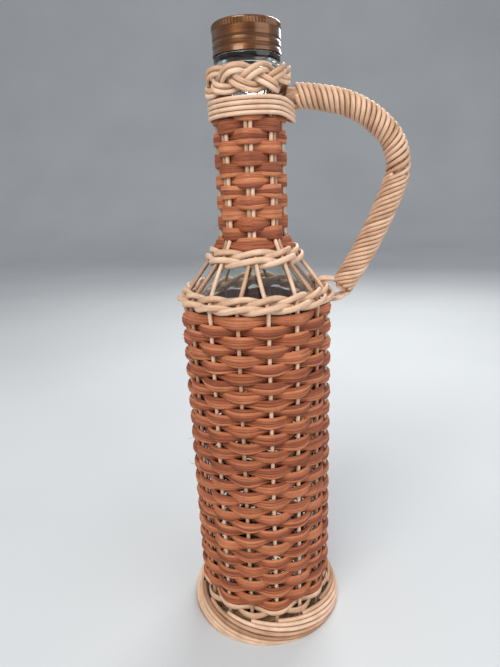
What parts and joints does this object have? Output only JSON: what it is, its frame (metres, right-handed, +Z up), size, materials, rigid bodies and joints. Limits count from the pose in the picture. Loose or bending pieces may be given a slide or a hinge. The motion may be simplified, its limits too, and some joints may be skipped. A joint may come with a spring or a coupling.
{
  "type": "wicker-covered bottle",
  "caption": "Tall clear glass bottle in a woven wicker cover with a roped side handle, a plaited collar, a rolled foot border and a dark screw cap.",
  "frame": {"origin": "on the bottle's axis, on the ground under the foot border", "axes": "+Z up along the bottle's axis, towards the cap; +X towards the handle"},
  "size_m": [0.118, 0.0852, 0.3056],
  "materials": {
    "glass": "gloss",
    "cap_metal": "gloss",
    "liner": "matte",
    "light_reed": "satin",
    "red_reed": "satin",
    "handle_cane": "satin"
  },
  "bodies": {
    "bottle": {"glass_bottle": "glass", "stake_01": "light_reed", "stake_02": "light_reed", "stake_03": "light_reed", "stake_04": "light_reed", "stake_05": "light_reed", "stake_06": "light_reed", "stake_07": "light_reed", "stake_08": "light_reed", "stake_09": "light_reed", "stake_10": "light_reed", "stake_11": "light_reed", "stake_12": "light_reed", "stake_13": "light_reed", "stake_14": "light_reed", "stake_15": "light_reed", "stake_16": "light_reed", "foot_rand_a": "light_reed", "foot_rand_b": "light_reed", "shoulder_band_lower": "light_reed", "shoulder_band_upper": "light_reed", "neck_band_lower": "light_reed", "neck_band_upper": "light_reed", "collar_strand_1": "light_reed", "collar_strand_2": "light_reed", "collar_strand_3": "light_reed", "collar_binding": "light_reed", "handle_wrap": "light_reed", "handle_lashing": "light_reed", "foot_border": "light_reed", "base_sticks": "light_reed", "base_weave": "light_reed", "body_weaver_a": "red_reed", "body_weaver_b": "red_reed", "neck_weaver_a": "red_reed", "neck_weaver_b": "red_reed", "handle_core": "handle_cane"},
    "liner": {"cap_liner": "liner"},
    "cap": {"screw_cap": "cap_metal"}
  },
  "joints": [
    {"name": "cap_lift", "type": "slide", "parent": "bottle", "child": "liner", "axis": [0, 0, 1], "range_m": [0, 0.03]},
    {"name": "cap_turn", "type": "hinge", "parent": "liner", "child": "cap", "pos_m": [0, 0, 0.2985], "axis": [0, 0, 1], "range_deg": [0, 3390]}
  ],
  "couplings": [
    {"joint": "cap_lift", "follows": "cap_turn", "m_per_rad": 0.00050611}
  ]
}
